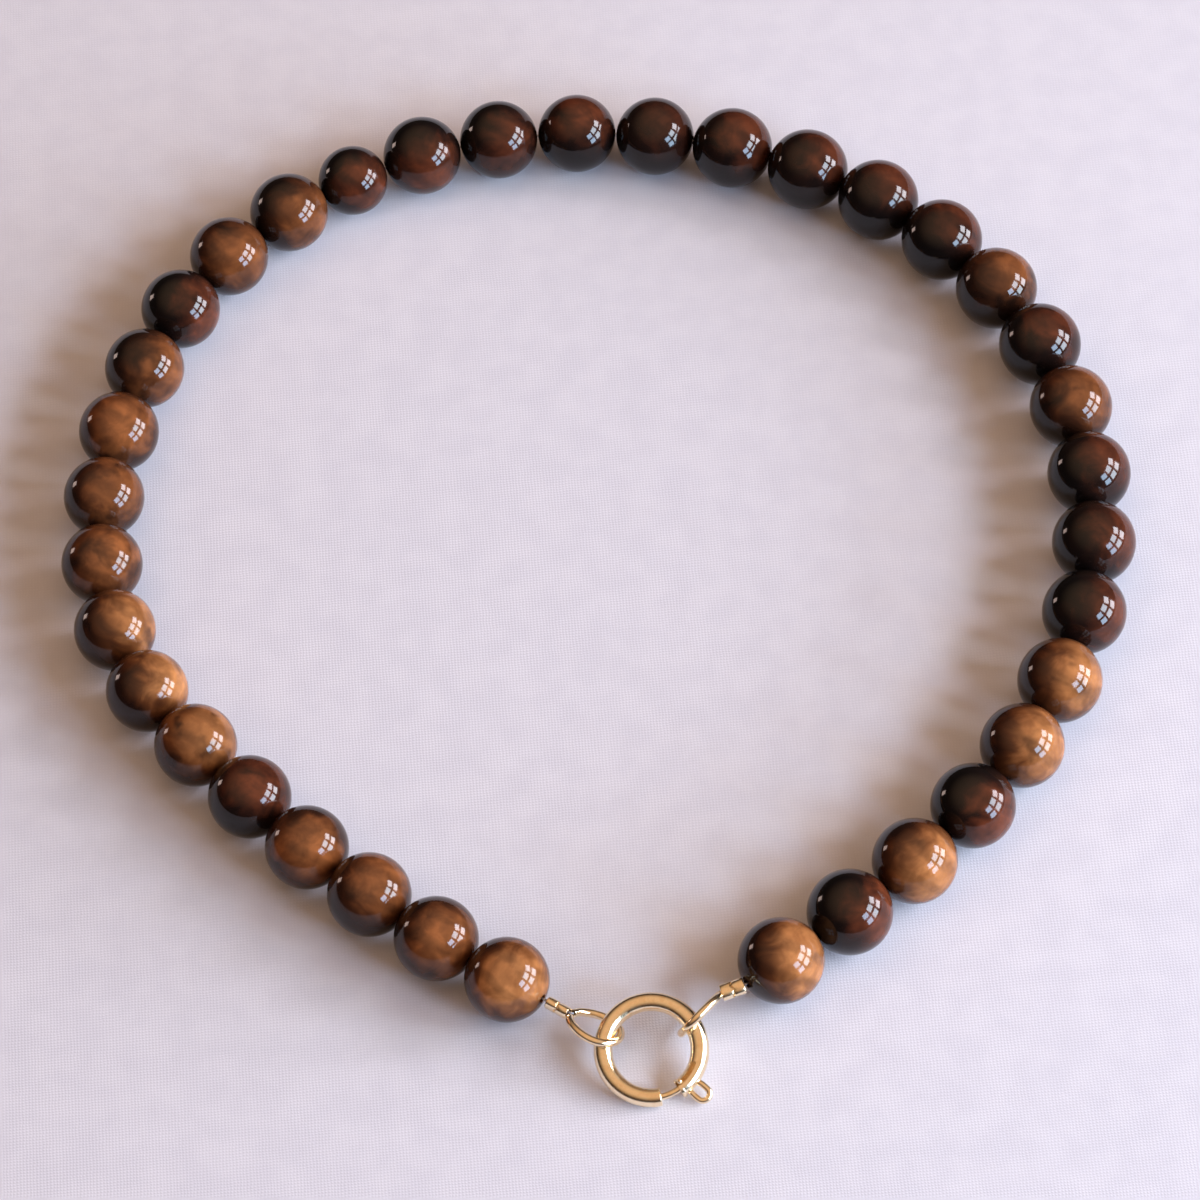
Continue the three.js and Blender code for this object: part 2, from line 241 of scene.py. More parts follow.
def finish_group(name: str, inputs: dict[str, str]) -> tuple[
        NodeSheet, bpy.types.NodeOutputs, bpy.types.NodeInputs]:
    """Starts a node group that gives a finish's colour, roughness and height.

    Args:
        name: The group's name.
        inputs: Socket kinds by name.

    Returns:
        The group's sheet, the sockets that it reads and the sockets that it fills.
    """
    tree = bpy.data.node_groups.new(name, "ShaderNodeTree")
    outputs = {"Color": "Color", "Roughness": "Float", "Height": "Float"}
    for sockets, way in ((inputs, "INPUT"), (outputs, "OUTPUT")):
        for socket, kind in sockets.items():
            tree.interface.new_socket(name=socket, in_out=way, socket_type="NodeSocket" + kind)
    source = tree.nodes.new("NodeGroupInput").outputs
    target = tree.nodes.new("NodeGroupOutput").inputs
    return NodeSheet(tree), source, target


@dataclass(frozen=True)
class StonePattern:
    """Stone with clouds, dark spots and fine growth bands, with painted light on one side and painted shade
    towards the rim.

    Scales count on a bead of radius 1. A reach is where a part starts and where it is full.
    """

    clouds: Noise = Noise(1.3, 3.0, 0.9)
    mottle: Noise = Noise(2.6, 4.0, 0.5)
    grit: Noise = Noise(26.0, 3.0)
    bands: Noise = Noise(0.55, 1.5, 4.5)
    patches: Noise = Noise(1.4, 2.5, 0.3)
    cloud_middle: float = 0.5
    cloud_drift: float = 1.2
    painted_glow_reach: Span = (0.35, 1.1)
    painted_shade_reach: Span = (-0.15, 0.8)
    wisp_reach: Span = (0.3, 0.72)
    wisp_strength: Span = (0.55, 1.1)
    band_reach: Span = (0.0, 0.6)
    band_strength: Span = (0.3, 0.0)
    spot_reach: Span = (0.52, 0.72)
    polish_reach: Span = (0.2, 0.8)
    roughness: Span = (0.05, 0.11)

    def build(self) -> bpy.types.NodeTree:
        """Makes the group.

        Returns:
            The group. It reads a place on a bead of radius 1 about its middle.
        """
        inputs = {"Place": "Vector", "Seed": "Vector", "Painted Light Way": "Vector", "Painted Glow": "Float",
                  "Spots": "Float", "Deep": "Color", "Body": "Color", "Light": "Color"}
        sheet, source, target = finish_group("cloudy_stone", inputs)
        shifted = sheet.add("VectorMath", operation="ADD")
        sheet.link(source["Place"], shifted.inputs[0])
        sheet.link(source["Seed"], shifted.inputs[1])
        place = shifted.outputs[0]
        # Painted light and shade: facing tells how far a place turns towards the painted light's way.
        facing = sheet.add("VectorMath", operation="DOT_PRODUCT")
        sheet.link(source["Place"], facing.inputs[0])
        sheet.link(source["Painted Light Way"], facing.inputs[1])
        mottle = sheet.noise(place, self.mottle)
        uneven = sheet.math("SUBTRACT", sheet.noise(place, self.clouds), self.cloud_middle)
        drift = sheet.math("MULTIPLY", uneven, self.cloud_drift)
        lean = sheet.math("ADD", facing.outputs["Value"], drift)
        # Painted light on the side that faces that way, broken up by the wisps.
        painted_glow = sheet.math("MULTIPLY", sheet.remap(lean, self.painted_glow_reach), source["Painted Glow"])
        wisps = sheet.remap(mottle, self.wisp_reach, self.wisp_strength)
        # Painted shade: the body darkens to the deep colour towards the rim and the far side.
        body = sheet.mix(sheet.remap(lean, self.painted_shade_reach), source["Deep"], source["Body"])
        lit = sheet.mix(sheet.math("MULTIPLY", painted_glow, wisps), body, source["Light"])
        bands = sheet.waves(place, "DIAGONAL", self.bands)
        banded = sheet.mix(sheet.remap(bands, self.band_reach, self.band_strength), lit, source["Deep"])
        patches = sheet.remap(sheet.noise(place, self.patches), self.spot_reach)
        spots = sheet.math("MULTIPLY", patches, source["Spots"])
        sheet.link(sheet.mix(spots, banded, source["Deep"]), target["Color"])
        sheet.link(sheet.remap(mottle, self.polish_reach, self.roughness), target["Roughness"])
        sheet.link(sheet.noise(place, self.grit), target["Height"])
        return sheet.tree


@dataclass(frozen=True)
class MetalPattern:
    """Polished metal's hairlines, rub marks and slightly uneven colour. Scales count per metre."""

    patina: Noise = Noise(900.0, 4.0, 0.4)
    rubs: Noise = Noise(3200.0, 3.0)
    hairs: Noise = Noise(2600.0, 5.0)
    patina_reach: Span = (0.42, 0.68)
    rub_reach: Span = (0.35, 0.7)
    hair_stretch: tuple[float, float, float] = (1.0, 9.0, 1.0)
    hair_turn: tuple[float, float, float] = (0.3, 0.5, 0.7)

    def build(self) -> bpy.types.NodeTree:
        """Makes the group.

        Returns:
            The group. It reads a place in metres.
        """
        inputs = {"Place": "Vector", "Bright": "Color", "Deep": "Color", "Shine": "Float", "Dull": "Float"}
        sheet, source, target = finish_group("worn_metal", inputs)
        place = source["Place"]
        patina = sheet.remap(sheet.noise(place, self.patina), self.patina_reach)
        sheet.link(sheet.mix(patina, source["Bright"], source["Deep"]), target["Color"])
        blend = sheet.add("Mix", data_type="FLOAT")
        sheet.link(sheet.remap(sheet.noise(place, self.rubs), self.rub_reach), blend.inputs["Factor"])
        sheet.link(source["Shine"], blend.inputs[2])
        sheet.link(source["Dull"], blend.inputs[3])
        sheet.link(blend.outputs[0], target["Roughness"])
        stretched = sheet.add("Mapping")
        stretched.inputs["Scale"].default_value = self.hair_stretch
        stretched.inputs["Rotation"].default_value = self.hair_turn
        sheet.link(place, stretched.inputs["Vector"])
        sheet.link(sheet.noise(stretched.outputs[0], self.hairs), target["Height"])
        return sheet.tree


def object_place(sheet: NodeSheet, location: Vector, scale: float) -> bpy.types.NodeSocket:
    """Reads the place on the piece.

    Args:
        sheet: The material's nodes.
        location: The point that becomes the pattern's middle, in metres.
        scale: What a metre becomes.

    Returns:
        The place.
    """
    coordinates = sheet.add("TexCoord")
    mapping = sheet.add("Mapping")
    mapping.inputs["Location"].default_value = -location * scale
    mapping.inputs["Scale"].default_value = (scale, scale, scale)
    sheet.link(coordinates.outputs["Object"], mapping.inputs["Vector"])
    return mapping.outputs[0]


def add_bump(sheet: NodeSheet, height: bpy.types.NodeSocket, shader: bpy.types.Node,
             strength: float, distance: float) -> None:
    """Bumps a shader's surface.

    Args:
        sheet: The material's nodes.
        height: The height map.
        shader: The Principled shader.
        strength: The bump's strength.
        distance: The bump's height in metres.
    """
    bump = sheet.add("Bump")
    bump.inputs["Strength"].default_value = strength
    bump.inputs["Distance"].default_value = distance
    sheet.link(height, bump.inputs["Height"])
    sheet.link(bump.outputs["Normal"], shader.inputs["Normal"])


# Finishes


@dataclass(frozen=True)
class StoneColours:
    """The deep, body and lit colours of a stone; the lit colour is painted light, and the deep one is also painted
    shade.
    """

    deep: Colour
    body: Colour
    light: Colour


# Deep is the stone's darkest tone, for its bands and spots and also for painted shade; the light colour is that of
# the painted light on one side.
STONES = {
    Tone.LIGHT: StoneColours((0.016, 0.006, 0.004), (0.14, 0.042, 0.013), (0.54, 0.21, 0.07)),
    Tone.MID: StoneColours((0.008, 0.004, 0.003), (0.062, 0.019, 0.008), (0.33, 0.105, 0.032)),
    Tone.DARK: StoneColours((0.004, 0.003, 0.003), (0.018, 0.007, 0.005), (0.15, 0.036, 0.014)),
}


@dataclass(frozen=True)
class StoneFinish:
    """Polished cloudy stone on one bead, with painted light on one side and painted shade towards the rim.

    Painted light way is the side where the painted light lies, spots the share of dark spots, and each
    seed is a step and a start, by which the bead's number shifts the pattern.
    """

    tone: Tone
    painted_light_way: Vector
    painted_glow: float
    spots: float
    seeds: tuple[Span, ...] = ((3.7, 0), (1.9, 5), (2.3, 9))
    bump: float = 0.05
    bump_height: float = 0.02 * MM
    refraction: float = 1.41

    def build(self, number: int, centre: Vector, radius: float,
              group: bpy.types.NodeTree) -> bpy.types.Material:
        """Makes the bead's material.

        Args:
            number: The bead's number, which seeds its pattern.
            centre: The bead's middle.
            radius: The bead's radius.
            group: The cloudy stone group.

        Returns:
            The material.
        """
        material, sheet, shader = new_material(f"polished_stone_{number:02d}")
        colours = STONES[self.tone]
        stone = sheet.add("Group", node_tree=group)
        sheet.link(object_place(sheet, centre, 1 / radius), stone.inputs["Place"])
        stone.inputs["Seed"].default_value = [number * step + start for step, start in self.seeds]
        stone.inputs["Painted Light Way"].default_value = self.painted_light_way
        stone.inputs["Painted Glow"].default_value = self.painted_glow
        stone.inputs["Spots"].default_value = self.spots
        for name, colour in (("Deep", colours.deep), ("Body", colours.body), ("Light", colours.light)):
            stone.inputs[name].default_value = (*colour, 1)
        sheet.link(stone.outputs["Color"], shader.inputs["Base Color"])
        sheet.link(stone.outputs["Roughness"], shader.inputs["Roughness"])
        add_bump(sheet, stone.outputs["Height"], shader, self.bump, self.bump_height)
        shader.inputs["IOR"].default_value = self.refraction
        return material


@dataclass(frozen=True)
class MetalFinish:
    """A polished metal with its bright and deep colours and its two roughnesses."""

    name: str
    bright: Colour
    deep: Colour
    shine: float
    dull: float
    bump: float = 0.12
    bump_height: float = 0.01 * MM

    def build(self, group: bpy.types.NodeTree) -> bpy.types.Material:
        """Makes the metal's material.

        Args:
            group: The worn metal group.

        Returns:
            The material.
        """
        material, sheet, shader = new_material(self.name)
        metal = sheet.add("Group", node_tree=group)
        sheet.link(object_place(sheet, Vector(), 1.0), metal.inputs["Place"])
        metal.inputs["Bright"].default_value = (*self.bright, 1)
        metal.inputs["Deep"].default_value = (*self.deep, 1)
        metal.inputs["Shine"].default_value = self.shine
        metal.inputs["Dull"].default_value = self.dull
        sheet.link(metal.outputs["Color"], shader.inputs["Base Color"])
        sheet.link(metal.outputs["Roughness"], shader.inputs["Roughness"])
        shader.inputs["Metallic"].default_value = 1.0
        add_bump(sheet, metal.outputs["Height"], shader, self.bump, self.bump_height)
        return material


GOLD = MetalFinish("gold_filled", (1.0, 0.83, 0.57), (0.97, 0.76, 0.49), 0.14, 0.24)
# Painted shade: a dark gold on the crimps' end faces, standing in for shade there.
PAINTED_SHADE_GOLD = MetalFinish("gold_painted_shade_at_crimp_ends", (0.22, 0.13, 0.065), (0.12, 0.065, 0.035), 0.3, 0.5)
STEEL = MetalFinish("steel_wire", (0.56, 0.56, 0.60), (0.22, 0.20, 0.22), 0.18, 0.4)


@dataclass(frozen=True)
class ClothFinish:
    """The pale, finely woven ground."""

    pale: Colour = (0.765, 0.735, 0.80)
    shade: Colour = (0.70, 0.672, 0.745)
    weave: Noise = Noise(2600.0 / math.pi, 2.0, 2.2)
    weave_share: float = 0.45
    slubs: Noise = Noise(240.0, 4.0)
    slub_reach: Span = (0.3, 0.7)
    slub_share: Span = (0.0, 0.55)
    roughness: float = 0.9
    sheen: float = 0.15
    bump: float = 0.18
    bump_height: float = 0.08 * MM

    def build(self) -> bpy.types.Material:
        """Makes the cloth's material.

        Returns:
            The material.
        """
        material, sheet, shader = new_material("pale_cloth")
        place = object_place(sheet, Vector(), 1.0)
        threads = [sheet.waves(place, direction, self.weave) for direction in ("X", "Y")]
        weave = sheet.math("MULTIPLY", *threads)
        slubs = sheet.remap(sheet.noise(place, self.slubs), self.slub_reach, self.slub_share)
        tint = sheet.math("ADD", sheet.math("MULTIPLY", weave, self.weave_share), slubs)
        sheet.link(sheet.mix(tint, (*self.shade, 1), (*self.pale, 1)), shader.inputs["Base Color"])
        shader.inputs["Roughness"].default_value = self.roughness
        shader.inputs["Specular IOR Level"].default_value = self.sheen
        add_bump(sheet, weave, shader, self.bump, self.bump_height)
        return material


# Meshes


def finish_piece(name: str, shape: bmesh.types.BMesh, body: str, slot: str,
                 material: bpy.types.Material, *nodes: str) -> bpy.types.Object:
    """Turns a bmesh into a smooth piece that rides on a body.

    Args:
        name: The piece's name.
        shape: Its mesh, which is freed.
        body: The body that it rides on.
        slot: The record's slot for its finish; not used.
        material: Its material.
        *nodes: The solids that it stands for.

    Returns:
        The new object.
    """
    bmesh.ops.recalc_face_normals(shape, faces=shape.faces)
    mesh = bpy.data.meshes.new(name)
    shape.to_mesh(mesh)
    shape.free()
    mesh.shade_smooth()
    mesh.set_sharp_from_angle(angle=SHARP_ANGLE)
    mesh.materials.append(material)
    piece = bpy.data.objects.new(name, mesh)
    bpy.context.scene.collection.objects.link(piece)
    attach(piece, body)
    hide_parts(*nodes)
    log.info("%s: %d faces, for %s", name, len(mesh.polygons), ", ".join(nodes))
    return piece


def frame_matrix(origin: Vector, x: Vector, y: Vector, z: Vector) -> Matrix:
    """Makes the matrix that carries a local frame to its place.

    Args:
        origin: Where the local origin goes.
        x: Where local X points.
        y: Where local Y points.
        z: Where local Z points.

    Returns:
        The matrix.
    """
    turned = Matrix((x, y, z)).transposed().to_4x4()
    turned.translation = origin
    return turned


def closed_loop(shape: bmesh.types.BMesh,
                points: list[Vector]) -> tuple[list[bmesh.types.BMVert], list[bmesh.types.BMEdge]]:
    """Draws a closed loop of edges in a shape.

    Args:
        shape: The shape that takes the loop.
        points: The loop's points in order.

    Returns:
        Its vertices and its edges.
    """
    verts = [shape.verts.new(point) for point in points]
    return verts, [shape.edges.new((verts[index - 1], verts[index])) for index in range(len(verts))]


def spun_shape(outline: list[Vector], sides: int) -> bmesh.types.BMesh:
    """Spins a closed outline about the local Z axis.

    Args:
        outline: The outline's points in the plane of X and Z.
        sides: The sides of the round.

    Returns:
        The closed shape.
    """
    shape = bmesh.new()
    verts, edges = closed_loop(shape, outline)
    bmesh.ops.spin(shape, geom=verts + edges, cent=(0, 0, 0), axis=(0, 0, 1), angle=math.tau,
                   steps=sides, use_merge=True)
    bmesh.ops.remove_doubles(shape, verts=shape.verts, dist=MERGE_DISTANCE)
    return shape


def sharp_edges(shape: bmesh.types.BMesh) -> list[bmesh.types.BMEdge]:
    """Finds the edges where a shape turns by more than the rim's angle."""
    return [edge for edge in shape.edges if edge.calc_face_angle(0) > RIM_TURN]


def round_edges(shape: bmesh.types.BMesh, edges: list[bmesh.types.BMEdge], width: float, steps: int) -> None:
    """Rounds edges of a shape.

    Args:
        shape: The shape.
        edges: The edges that are rounded.
        width: How far from the edge the rounding starts.
        steps: The faces across it.
    """
    bmesh.ops.bevel(shape, geom=edges, offset=width, segments=steps, profile=0.5, affect="EDGES",
                    material=-1, clamp_overlap=True)


def take_in(shape: bmesh.types.BMesh, *extras: bmesh.types.BMesh) -> None:
    """Adds other shapes to a shape.

    Args:
        shape: The shape that takes them in.
        *extras: The other shapes, which are freed.
    """
    carrier = bpy.data.meshes.new("carrier")
    for extra in extras:
        extra.to_mesh(carrier)
        shape.from_mesh(carrier)
        extra.free()
    bpy.data.meshes.remove(carrier)


def tube_along(points: list[Vector], radius: float, sides: int, bore: float = 0.0) -> bmesh.types.BMesh:
    """Sweeps a round section along a line of points, solid or as a tube with a wall.

    Args:
        points: The line.
        radius: The outer radius.
        sides: The sides of the section.
        bore: The bore's radius, or 0 for a solid rod.

    Returns:
        The swept shape, closed at both ends.
    """
    shape = bmesh.new()
    ahead = (points[1] - points[0]).normalized()
    side = ahead.orthogonal().normalized()
    loops = {True: [], False: []}
    first = {True: [], False: []}
    for index, point in enumerate(points):
        before = points[max(index - 1, 0)]
        after = points[min(index + 1, len(points) - 1)]
        ahead = (after - before).normalized()
        side = (side - ahead * side.dot(ahead)).normalized()
        place = frame_matrix(point, side, ahead.cross(side), ahead)
        for inner in (False, True) if bore else (False,):
            size = bore if inner else radius
            ring = bmesh.ops.create_circle(shape, segments=sides, radius=size, matrix=place)
            edges = list({edge for vert in ring["verts"] for edge in vert.link_edges})
            if loops[inner]:
                bmesh.ops.bridge_loops(shape, edges=loops[inner] + edges)
            else:
                first[inner] = edges
            loops[inner] = edges
    if bore:
        bmesh.ops.bridge_loops(shape, edges=first[False] + first[True])
        bmesh.ops.bridge_loops(shape, edges=loops[False] + loops[True])
    else:
        bmesh.ops.holes_fill(shape, edges=shape.edges, sides=sides)
    return shape


def plain_object(name: str, shape: bmesh.types.BMesh) -> bpy.types.Object:
    """Turns a bmesh into an object without material or body.

    Args:
        name: The object's name.
        shape: Its mesh, which is kept.

    Returns:
        The new object.
    """
    mesh = bpy.data.meshes.new(name)
    shape.to_mesh(mesh)
    made = bpy.data.objects.new(name, mesh)
    bpy.context.scene.collection.objects.link(made)
    return made


def cut_away(shape: bmesh.types.BMesh, cutter: bmesh.types.BMesh) -> None:
    """Cuts one closed shape out of another.

    Args:
        shape: The shape that is cut.
        cutter: The shape that is taken away, which is freed.
    """
    bmesh.ops.recalc_face_normals(shape, faces=shape.faces)
    target, tool = plain_object("cut_target", shape), plain_object("cut_tool", cutter)
    modifier = target.modifiers.new("cut", "BOOLEAN")
    modifier.operation = "DIFFERENCE"
    modifier.solver = "MANIFOLD"
    modifier.object = tool
    result = target.evaluated_get(bpy.context.evaluated_depsgraph_get())
    shape.clear()
    shape.from_mesh(result.to_mesh())
    result.to_mesh_clear()
    cutter.free()
    for made in (target, tool):
        mesh = made.data
        bpy.data.objects.remove(made)
        bpy.data.meshes.remove(mesh)


def smooth_line(points: list[Vector], steps: int) -> list[Vector]:
    """Draws a smooth line through points.

    Args:
        points: The points that it passes.
        steps: The steps between neighbours.

    Returns:
        The points of the line.
    """
    line = []
    for index in range(len(points) - 1):
        before = points[max(index - 1, 0)]
        start, end = points[index], points[index + 1]
        after = points[min(index + 2, len(points) - 1)]
        square = 2 * before - 5 * start + 4 * end - after
        cube = 3 * start - before - 3 * end + after
        for step in range(steps):
            t = step / steps
            line.append((2 * start + (end - before) * t + square * t ** 2 + cube * t ** 3) / 2)
    line.append(points[-1])
    return line


# View


CAMERA_SPAN = 0.6622836
CAMERA_HEIGHT = math.radians(55.3461)
CAMERA_ROLL = math.radians(-5.1896)
AIM_RIGHT_OF_CLASP = -1.2 * MM
AIM_BEHIND_CLASP = 64.9 * MM


def view_axes() -> tuple[Vector, Vector, Vector]:
    """Works out how the camera looks at the necklace.

    Returns:
        The photograph's right and up, and the way towards the viewer.
    """
    towards = Vector((0, -math.cos(CAMERA_HEIGHT), math.sin(CAMERA_HEIGHT)))
    level = Vector((1, 0, 0))
    upright = towards.cross(level)
    right = math.cos(CAMERA_ROLL) * level + math.sin(CAMERA_ROLL) * upright
    up = math.cos(CAMERA_ROLL) * upright - math.sin(CAMERA_ROLL) * level
    return right, up, towards


def seen_way(right: float, up: float) -> Vector:
    """Turns a place on a bead's seen face into a direction from its middle.

    Args:
        right: How far right the place is, in shares of the radius.
        up: How far up it is.

    Returns:
        The direction.
    """
    axes = view_axes()
    front = math.sqrt(max(1 - right ** 2 - up ** 2, 0.0))
    return (right * axes[0] + up * axes[1] + front * axes[2]).normalized()


# Beads


@dataclass(frozen=True)
class BeadLook:
    """Where a bead's painted light lies on its seen face, how strong it is, and its share of dark spots."""

    right: float
    up: float
    painted_glow: float
    spots: float = 0.3


BEAD_LOOKS = (
    BeadLook(0.10, -0.05, 1.0, 0.1),
    BeadLook(0.15, -0.15, 1.0, 0.2),
    BeadLook(0.25, 0.40, 0.7, 0.5),
    BeadLook(0.00, -0.05, 0.95, 0.3),
    BeadLook(0.25, 0.40, 0.9, 0.7),
    BeadLook(0.30, 0.30, 0.55, 0.8),
    BeadLook(0.60, 0.45, 1.0, 0.4),
    BeadLook(0.60, 0.30, 0.85, 0.6),
    BeadLook(0.20, 0.20, 0.8, 0.6),
    BeadLook(0.35, 0.20, 0.65, 0.6),
    BeadLook(0.10, 0.15, 0.95, 0.4),
    BeadLook(0.60, -0.20, 0.7, 0.6),
    BeadLook(0.65, -0.25, 1.0, 0.5),
    BeadLook(0.30, 0.00, 0.7, 0.5),
    BeadLook(0.60, -0.30, 0.6, 0.6),
    BeadLook(0.50, -0.30, 0.7, 0.4),
    BeadLook(0.20, -0.60, 0.8, 0.5),
    BeadLook(0.40, -0.30, 0.6, 0.5),
    BeadLook(0.10, 0.60, 0.8, 0.5),
    BeadLook(0.30, 0.30, 0.3, 0.6),
    BeadLook(0.40, 0.30, 0.6, 0.5),
    BeadLook(0.40, 0.40, 0.6, 0.5),
    BeadLook(0.40, 0.55, 0.6, 0.5),
    BeadLook(0.45, 0.55, 0.6, 0.5),
    BeadLook(0.35, 0.60, 0.55, 0.8),
    BeadLook(0.40, 0.50, 0.6, 0.5),
    BeadLook(0.40, 0.45, 0.55, 0.8),
    BeadLook(0.55, 0.35, 0.8, 0.5),
    BeadLook(0.60, 0.20, 0.7, 0.5),
    BeadLook(0.60, -0.20, 0.7, 0.5),
    BeadLook(0.50, 0.10, 0.8, 0.6),
    BeadLook(0.50, 0.00, 0.8, 0.6),
    BeadLook(0.50, -0.45, 1.0, 0.5),
    BeadLook(0.35, -0.30, 0.85, 0.5),
    BeadLook(0.60, 0.00, 1.0, 0.5),
    BeadLook(0.60, 0.05, 0.95, 0.4),
)


@dataclass
class DrilledBead:
    """A round bead with a drilled hole whose mouths are slightly bevelled. Lengths in metres."""

    number: int
    centre: Vector
    way: Vector
    radius: float
    bore: float = 0.48 * MM
    mouth: float = 0.12 * MM
    rows: int = 26
    sides: int = 48

    def build_shape(self) -> bmesh.types.BMesh:
        """Spins the bead's outline about its hole.

        Returns:
            The closed shape, in place.
        """
        lip = math.asin((self.bore + self.mouth) / self.radius)
        outline = []
        for row in range(self.rows + 1):
            angle = lip + (math.pi - 2 * lip) * row / self.rows
            outline.append(Vector((self.radius * math.sin(angle), 0, -self.radius * math.cos(angle))))
        end = outline[-1].z - self.mouth
        outline += [Vector((self.bore, 0, end)), Vector((self.bore, 0, -end))]
        shape = spun_shape(outline, self.sides)
        turned = self.way.to_track_quat("Z", "Y").to_matrix().to_4x4()
        turned.translation = self.centre
        bmesh.ops.transform(shape, matrix=turned, verts=shape.verts)
        return shape


@dataclass
class BeadString:
    """All the beads, each where its solid is."""

    stone_group: bpy.types.NodeTree
    # Painted light: every bead's painted light is shifted right and up, towards the window.
    painted_light_right: float = 0.14
    painted_light_up: float = 0.08
    wire_reach: float = 0.5 * MM

    def measure(self, number: int) -> DrilledBead:
        """Reads a bead's place, size and hole from the frame.

        Args:
            number: The bead's number, from the left end.

        Returns:
            The bead.
        """
        low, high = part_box(f"bead_{number:02d}")
        centre = (low + high) / 2
        radius = (high.z - low.z) / 2
        wire = np.array([vert.co for vert in frame["nodes"]["beading_wire"].data.vertices])
        near = wire - np.array(centre)
        near[:, 2] = 0
        near = near[np.linalg.norm(near, axis=1) < radius + self.wire_reach]
        along = np.linalg.svd(near - near.mean(axis=0))[2][0]
        return DrilledBead(number, centre, Vector(along).normalized(), radius)

    def build(self) -> None:
        """Builds and dresses every bead."""
        slots = {entry["node"]: entry["material_slot"] for entry in frame["record"]["subparts"]}
        for number, look in enumerate(BEAD_LOOKS, start=1):
            node = f"bead_{number:02d}"
            bead = self.measure(number)
            # The painted light's way is fixed to the view.
            way = seen_way(look.right + self.painted_light_right, look.up + self.painted_light_up)
            finish = StoneFinish(Tone(slots[node]), way, look.painted_glow, look.spots)
            material = finish.build(number, bead.centre, bead.radius, self.stone_group)
            finish_piece(f"stone_{node}", bead.build_shape(), NECKLACE_BODY, slots[node], material, node)


# Clasp


